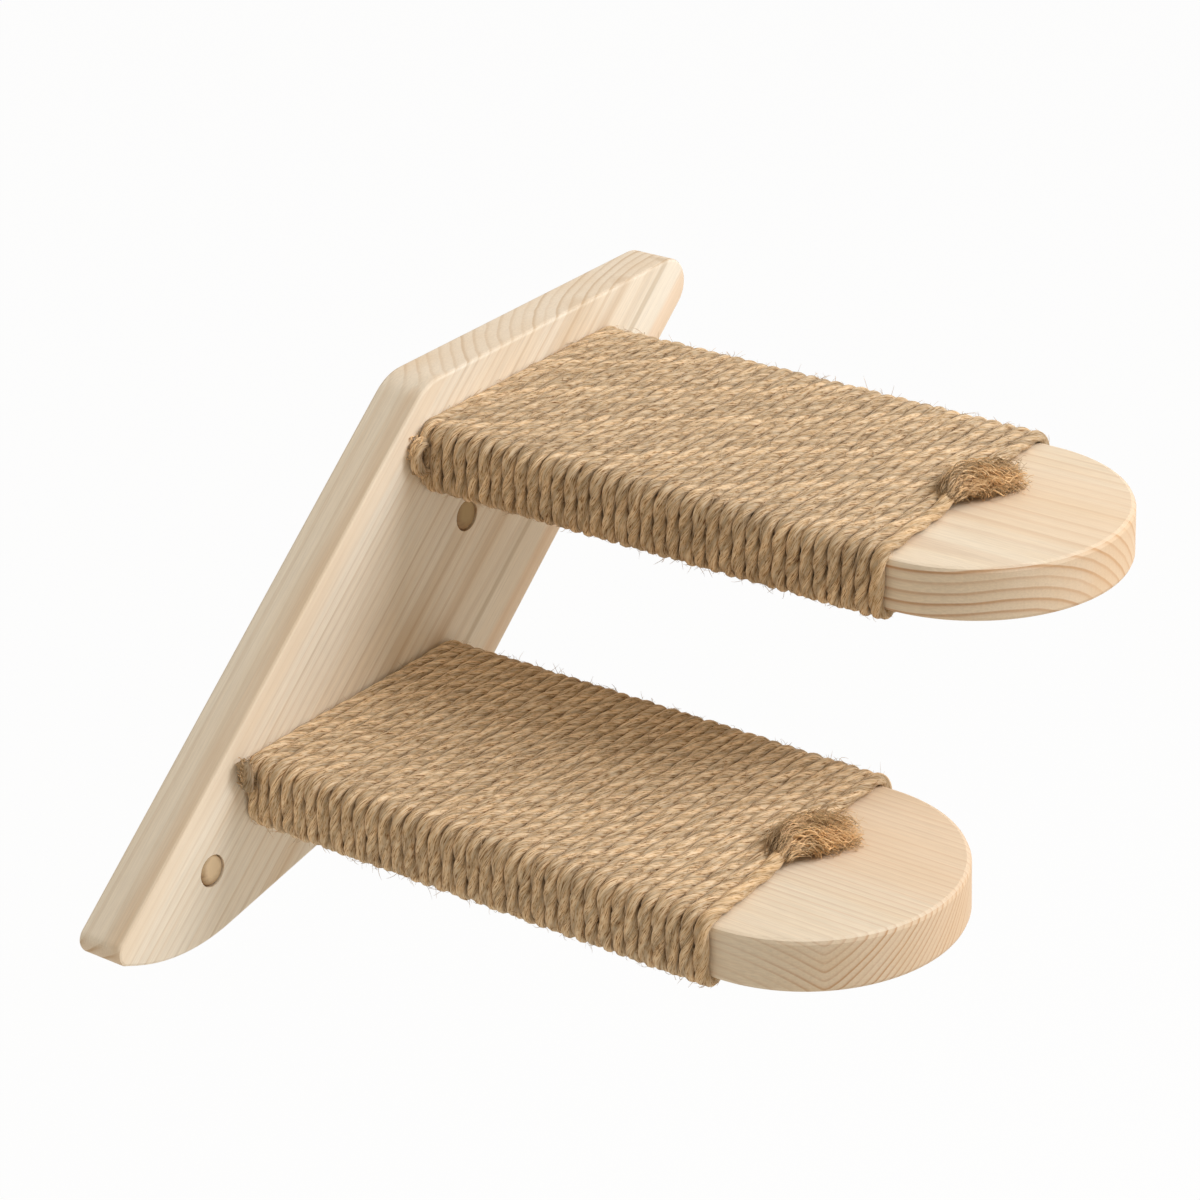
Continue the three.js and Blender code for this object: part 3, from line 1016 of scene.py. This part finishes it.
        # Each lock has its own place in the tail's cross section, evenly spread over it, and its own waves.
        angle = random.uniform(0, 2 * np.pi, locks.count)
        off = np.sqrt(random.uniform(0.05, 1, locks.count))
        lock = random.integers(0, locks.count, count)
        waves = random.uniform(*locks.waves, (2, locks.count, 1))
        phases = random.uniform(0, 2 * np.pi, (2, locks.count, 1))
        wave_side, wave_top = (np.sin(2 * np.pi * waves[i] * share + phases[i])[lock] for i in (0, 1))
        own_side, own_top = random.normal(0, kind.scatter, (2, count, 1)) * (0.5 + opened)
        curl = random.uniform(*locks.curl_radii, (count, 1)) * opened
        turns = share * random.uniform(*locks.curl_turns, (count, 1)) + random.uniform(0, 1, (count, 1))
        width, height = (shut + (wide - shut) * opened for shut, wide in (locks.half_widths, locks.half_heights))
        side = (off * np.cos(angle))[lock][:, None] * width + own_side + locks.wave_width * wave_side * opened
        side = side + curl * np.cos(2 * np.pi * turns)
        top = (off * np.sin(angle))[lock][:, None] * height + locks.flatness * own_top
        top = top + locks.wave_height * wave_top * opened + curl * np.sin(2 * np.pi * turns)
        lines = middle + side[..., None] * sideways + top[..., None] * facing
        lines[..., 2] = np.maximum(lines[..., 2], self.step_thickness / 2 + locks.clearance)
        # Each fibre is the stretch of its line from where it begins to where it ends.
        ends = random.uniform(*kind.reach, count)[:, None]
        begins = random.uniform(*locks.begin_shares, count)[:, None]
        at = (begins + (ends - begins) * np.linspace(0, 1, locks.fibre_points)) * (places - 1)
        below = np.clip(np.floor(at).astype(int), 0, places - 2)
        part = (at - below)[..., None]
        rows = np.arange(count)[:, None]
        drawn = lines[rows, below] * (1 - part) + lines[rows, below + 1] * part
        taper = np.linspace(1.0, locks.fibre_taper, locks.fibre_points)
        radius = random.uniform(*kind.radii, (count, 1)) * taper
        # Towards the root the fibres lie in each other's shadow, so they are darker and less warm there.
        ahead = at / (places - 1)
        lock_tone = random.choice(locks.tones, locks.count)[lock][:, None]
        tone = lock_tone * random.uniform(*locks.fibre_tones, (count, 1)) * np.clip(0.4 + 1.8 * ahead, 0, 1)
        lock_warmth = random.uniform(*locks.warmths, locks.count)[lock][:, None]
        look = FibreLook(tone, lock_warmth * np.clip(0.3 + 1.2 * ahead, 0, 1))
        self.fibre_tubes(drawn, radius, kind.sides, look, parts)

    def start(self) -> bpy.types.Object:
        """Builds the rope's cut beginning by the wall.

        Returns:
            The piece.
        """
        side = -self.step_width / 2
        if self.start_form is StartForm.CURL:
            # It runs from below round the hollow's near side and over its top, and lies close to the wall.
            hollow_x, hollow_z, reach_x, reach_z = side - 4.3, 2.0, 3.6, 4.8
            angle = np.radians(np.linspace(-75.0, -330.0, 26))
            line = together(hollow_x + reach_x * np.cos(angle), 2.9, hollow_z + reach_z * np.sin(angle))
            outward = together(np.cos(angle), 0.0, np.sin(angle))
            shade = 0.95
        else:
            # It stands nearly upright, leans a little off the step and sways a little from the wall.
            foot_x, foot_u, foot_z, lean, sway = side - 5.0, 2.8, 3.6, 0.08, 0.5
            rise = np.linspace(0.0, 9.5, 11)
            line = together(foot_x - lean * rise, foot_u + sway * np.sin(rise / 3), foot_z + rise)
            outward = np.broadcast_to([-1.0, 0.0, 0.0], line.shape)
            shade = 0.5
        distance = walked_along(line)
        seam = np.arange(self.sides + 1) / (self.sides + 1)
        uv = together(0.5 * distance[:, None] / distance[-1], 0.4 * seam)
        parts = MeshParts()
        self.rope_tube(RopeLength(distance, line, outward, np.zeros(len(line)), uv, shade), parts)
        self._start_fray(line, shade, parts)
        return parts.make(f"{self.level}_rope_start", self.finish)

    def _start_fray(self, line: np.ndarray, shade: float, parts: MeshParts) -> None:
        """Adds the short fibres that stick out of the cut end.

        Args:
            line: The beginning's middle line.
            shade: How light it is beside the other rope.
            parts: Where the fibres go.
        """
        random, fray, count = self.random, self.fray, self.fray.count
        at = random.integers(1, len(line) - 1, count)
        root = line[at] + random.normal(0, fray.spread, (count, 3))
        lean = unit(unit(line[at + 1] - line[at - 1]) + random.normal(0, fray.lean, (count, 3)))
        share = np.linspace(0, 1, fray.points)[:, None]
        lines = root[:, None] + random.uniform(*fray.lengths, (count, 1, 1)) * share * lean[:, None]
        lines = lines + random.normal(0, fray.bend, (count, 1, 3)) * np.sin(math.pi * share)
        lines[..., 1] = np.maximum(lines[..., 1], fray.wall_clearance)
        radius = random.uniform(*fray.radii, (count, 1)) * np.linspace(1.0, fray.taper, fray.points)
        look = FibreLook(shade * random.uniform(*fray.tones, count), np.full(count, fray.warmth))
        self.fibre_tubes(lines, radius, fray.sides, look, parts)

    def build(self) -> list[bpy.types.Object]:
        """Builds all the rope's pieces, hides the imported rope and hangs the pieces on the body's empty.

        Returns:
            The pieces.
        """
        winding = self.winding()
        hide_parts(f"{self.level}_step_rope")
        pieces = [winding, self.fuzz(), self.tail(), self.start()]
        for piece in pieces:
            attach(piece, BODY)
            log.info("%s: %d faces", piece.name, len(piece.data.polygons))
        return pieces


def middle_of(node: str) -> Vector:
    """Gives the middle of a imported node's box, in millimetres."""
    low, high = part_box(node)
    return (low + high) / 2 / MM


@dataclass
class Woodwork:
    """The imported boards, plugs, dowels and screws, whose shapes stay and which get their finishes here."""

    slant_degrees: float = 50.6
    sharp_degrees: float = 50.0

    def finishes(self) -> dict[str, bpy.types.Material]:
        """Makes one finish for each board, with its own growth rings.

        Returns:
            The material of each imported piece, or of each kind of piece by the start or end of its name.
        """
        lean = math.radians(self.slant_degrees)
        upper, lower = (middle_of(f"{level}_step_board") for level in ("upper", "lower"))
        # Planed pine with its pith behind the board, so wide rings run along the slant. Its stripes are the
        # warm lower edge and the tan and green-grey lines that the photo shows along the front.
        wall = WoodFinish(
            name="pine_planed_wall_board",
            grain=(math.sin(lean), 0.0, math.cos(lean)),
            across=(math.cos(lean), 0.0, -math.sin(lean)),
            pith=(24.1, -54.0, -29.4),
            wander=2.4,
            earlywood="FFF6E5",
            latewood="B8935F",
            broad_face_strength=0.34,
            edge_face_strength=0.25,
            bands=(
                GrainBand(-54.0, -15.0, (4.0, 6.0), "D2A873", 0.6),
                GrainBand(-48.0, -19.0, (6.0, 5.0), "F9E6CB", 0.5),
                GrainBand(47.0, -18.0, (5.0, 12.0), "EFC08E", 0.35),
                GrainBand(33.0, -18.0, (1.6, 8.0), "A98A58", 0.35),
                GrainBand(18.0, -18.0, (3.5, 8.0), "C7A273", 0.3),
                GrainBand(2.0, -18.0, (5.0, 8.0), "CBAA7C", 0.2),
            ),
        )
        # Planed pine cut away from the pith, so the tip's edge shows even, gently curved rings.
        upper_step = WoodFinish(
            name="pine_planed_upper_step",
            pith=(upper.x - 37.0, 0.0, upper.z - 40.0),
            ring_width=3.5,
            bands=(GrainBand(upper.x + 10.0, -upper.z, (36.0, 40.0), "F0CBA0", 0.3),),
        )
        # Planed pine cut through narrow, pointed rings, so the tip's edge shows a fine vee at its left.
        lower_step = WoodFinish(
            name="pine_planed_lower_step",
            pith=(lower.x - 38.0, 0.0, lower.z),
            ring_width=2.0,
            ring_form=RingForm.VEE,
            wander=0.9,
            bands=(GrainBand(lower.x + 25.0, -lower.z, (45.0, 40.0), "EFC8A0", 0.3),),
        )
        # Turned beech is redder than pine, and its rings hardly show.
        dowel = WoodFinish(name="beech_turned_dowel", ring_width=2.0, earlywood="DDB98A", latewood="C49A6A")
        return {
            "backboard": wall.material(),
            "upper_step_board": upper_step.material(),
            "lower_step_board": lower_step.material(),
            # Painted shade: the upper plug's centre is given a darker colour because it lies in the upper step's
            # shadow.
            "upper_hole_plug": self._plug("upper", "BBA275").material(),
            "lower_hole_plug": self._plug("lower", "EBD3AE").material(),
            "dowel": dowel.material(),
            "screw": ZincFinish("steel_zinc_plated_screw").material(),
        }

    def _plug(self, level: str, centre_tone_and_shade: str) -> WoodFinish:
        """Makes a plug's finish: cross-cut wood with a dark rim, broader at the left and below: partly a glue line,
        partly painted shadow in the gap.

        Args:
            level: The step's level, "upper" or "lower".
            centre_tone_and_shade: The colour inside the rim.

        Returns:
            The finish.
        """
        low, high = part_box(f"{level}_hole_plug")
        middle, radius = (low + high) / 2 / MM, (high.x - low.x) / 2 / MM
        return WoodFinish(
            name=f"pine_cross_cut_{level}_plug",
            pith=(middle.x - 2.0, 0.0, middle.z + 3.0),
            ring_width=1.5,
            wander=0.6,
            # The dark base colour is the rim: partly a glue line, partly painted shadow in the gap round the plug.
            earlywood="9A774D",
            latewood="7A5A36",
            broad_face_strength=0.8,
            end_strength=0.0,
            # The light centre sits right of and above the middle, so the rim's painted shadow is broader at the
            # left and below.
            bands=(GrainBand(middle.x + 0.9, -middle.z - 0.8, (1.2 * radius, 1.2 * radius), centre_tone_and_shade, 1.0),),
        )

    def dress(self) -> None:
        """Gives each packed wood and metal piece its finish and smooth round faces."""
        finishes = self.finishes()
        for name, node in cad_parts.items():
            kind = next((k for k in finishes if k in name), None)
            if kind is None:
                continue
            node.data.materials.clear()
            node.data.materials.append(finishes[kind])
            node.data.shade_smooth()
            node.data.set_sharp_from_angle(angle=math.radians(self.sharp_degrees))
            log.info("%s: %s", name, finishes[kind].name)


@dataclass(frozen=True)
class AreaLamp:
    """A softbox: where it hangs, its size, its power and its colour."""

    name: str
    at: Triple
    size: float
    power: float
    colour: str = "FFFFFF"

    def build(self, target: Vector) -> None:
        """Makes the lamp and points it at the object.

        Args:
            target: The place it points at, in metres.
        """
        lamp = bpy.data.lights.new(self.name, "AREA")
        lamp.shape = "DISK"
        lamp.size = self.size
        lamp.energy = self.power
        lamp.color = linear(self.colour)[:3]
        holder = bpy.data.objects.new(self.name, lamp)
        holder.location = self.at
        holder.rotation_euler = (target - Vector(self.at)).to_track_quat("-Z", "Y").to_euler()
        bpy.context.scene.collection.objects.link(holder)


@dataclass(frozen=True)
class Studio:
    """The camera at the photograph's viewing angle, a pale floor and soft lamps. Its lengths are metres."""

    yaw_degrees: float = 51.56
    pitch_degrees: float = 25.876
    roll_degrees: float = -2.541
    camera_at: Triple = (-0.84108, -0.764, 0.5442)
    focal_pixels: float = 3726.2
    image_pixels: float = 1200.0
    sensor_width: float = 36.0
    clip_range: tuple[float, float] = (0.05, 50.0)
    floor_level: float = -0.55
    floor_size: float = 12.0
    floor_tone: str = "F4F4F2"
    floor_glow: float = 0.96
    white: str = "FFFFFF"
    ambient: float = 0.48
    ambient_colour: str = "FFF0DC"
    target: Triple = (-0.02, -0.12, 0.0)
    lamps: tuple[AreaLamp, ...] = (
        AreaLamp("key_softbox", (0.53, -1.095, 0.833), 0.72, 12.5, "FCFCFF"),
        AreaLamp("top_softbox", (-0.02, -0.19, 2.0), 0.8, 3.0),
    )

    def build_camera(self) -> None:
        """Makes the camera from its own directions."""
        yaw, pitch, roll = (math.radians(a) for a in (self.yaw_degrees, self.pitch_degrees, self.roll_degrees))
        ahead = Vector((math.sin(yaw) * math.cos(pitch), math.cos(yaw) * math.cos(pitch), -math.sin(pitch)))
        level = ahead.cross(Vector((0, 0, 1))).normalized()
        above = level.cross(ahead)
        right = math.cos(roll) * level + math.sin(roll) * above
        up = -math.sin(roll) * level + math.cos(roll) * above
        camera = bpy.data.cameras.new("camera")
        camera.sensor_width = self.sensor_width
        camera.lens = self.focal_pixels / self.image_pixels * self.sensor_width
        camera.clip_start, camera.clip_end = self.clip_range
        holder = bpy.data.objects.new("camera", camera)
        holder.matrix_world = Matrix.Translation(self.camera_at) @ Matrix((right, up, -ahead)).transposed().to_4x4()
        bpy.context.scene.collection.objects.link(holder)
        bpy.context.scene.camera = holder

    def build_floor(self) -> None:
        """Makes the pale floor. It shows near white to the camera and keeps a part of the shadows."""
        half = self.floor_size / 2
        mesh = bpy.data.meshes.new("studio_floor")
        corners = [(-half, -half), (half, -half), (half, half), (-half, half)]
        mesh.from_pydata([(x, y, self.floor_level) for x, y in corners], [], [(0, 1, 2, 3)])
        floor = bpy.data.objects.new("studio_floor", mesh)
        bpy.context.scene.collection.objects.link(floor)
        material, tree, shader = new_material("studio_floor_paper")
        shader.inputs["Base Color"].default_value = linear(self.floor_tone)
        shader.inputs["Roughness"].default_value = 0.9
        glow = add_node(tree, "Emission", {"Color": linear(self.white), "Strength": 1.0})
        amount = add_node(tree, "Math", (self._shown_to_eye(tree), self.floor_glow), operation="MULTIPLY")
        blend = add_node(tree, "MixShader", (amount, shader.outputs[0], glow))
        tree.links.new(blend, tree.nodes["Material Output"].inputs["Surface"])
        mesh.materials.append(material)

    def build_world(self) -> None:
        """Makes the soft light from all round, and a white background for the camera."""
        world = bpy.data.worlds.new("studio_world")
        bpy.context.scene.world = world
        world.use_nodes = True
        tree = world.node_tree
        light = tree.nodes["Background"]
        light.inputs["Color"].default_value = linear(self.ambient_colour)
        light.inputs["Strength"].default_value = self.ambient
        backdrop = add_node(tree, "Background", {"Color": linear(self.white), "Strength": 1.0})
        blend = add_node(tree, "MixShader", (self._shown_to_eye(tree), light.outputs[0], backdrop))
        tree.links.new(blend, tree.nodes["World Output"].inputs["Surface"])

    def _shown_to_eye(self, tree: bpy.types.NodeTree) -> Socket:
        """Tells what is seen from what only lights.

        Args:
            tree: The node tree that gets the nodes.

        Returns:
            1 for what the camera or a glossy or clear material sees, and 0 for the rest.
        """
        rays = add_node(tree, "LightPath").node.outputs
        seen = rays["Is Camera Ray"]
        for ray in ("Is Glossy Ray", "Is Transmission Ray"):
            seen = add_node(tree, "Math", (seen, rays[ray]), operation="MAXIMUM")
        return seen

    def build(self) -> None:
        """Builds the whole studio."""
        self.build_camera()
        self.build_floor()
        self.build_world()
        for lamp in self.lamps:
            lamp.build(Vector(self.target))
        bpy.context.scene.view_settings.view_transform = "Standard"


def main() -> None:
    """Builds everything in order."""
    logging.basicConfig(level=logging.INFO, format="%(name)s: %(message)s")
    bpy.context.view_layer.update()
    Studio().build()
    Woodwork().dress()
    front_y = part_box("backboard")[0].y / MM
    jute = JuteFinish("jute_rope_three_ply").material()
    steps = (("upper", -2.4, StartForm.CURL), ("lower", 0.8, StartForm.STUB))
    for number, (level, drift, start_form) in enumerate(steps):
        low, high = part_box(f"{level}_step_board")
        RopeWrap(
            level=level,
            seed=SEED + number,
            middle=middle_of(f"{level}_step_board"),
            front_y=front_y,
            step_width=(high.x - low.x) / MM,
            step_thickness=(high.z - low.z) / MM,
            top_drift=drift,
            start_form=start_form,
            finish=jute,
        ).build()


if __name__ == "__main__":
    main()
